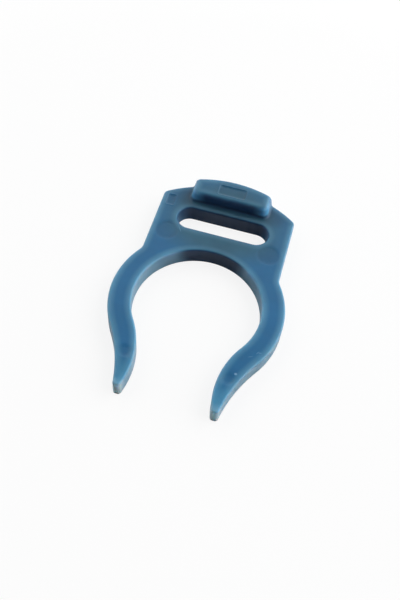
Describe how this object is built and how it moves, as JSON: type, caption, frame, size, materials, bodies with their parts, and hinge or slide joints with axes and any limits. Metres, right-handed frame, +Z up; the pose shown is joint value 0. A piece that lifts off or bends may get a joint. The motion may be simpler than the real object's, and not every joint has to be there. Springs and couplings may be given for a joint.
{
  "type": "tube retaining clip",
  "caption": "Flat moulded plastic spring clip whose C-shaped bore and flared fingers snap sideways onto a tube, with a slotted head and a raised thumb tab.",
  "frame": {"origin": "on the axis of the bore, at the flat underside of the plate", "axes": "+X across the clip, +Y from the bore toward the head with the tab, so that the mouth opens toward -Y, and +Z up out of the plate along the bore's axis"},
  "size_m": [0.0298, 0.0446, 0.0054],
  "materials": {
    "blue_plastic": "satin"
  },
  "bodies": {
    "root": {"tube_clip": "blue_plastic"}
  },
  "joints": []
}
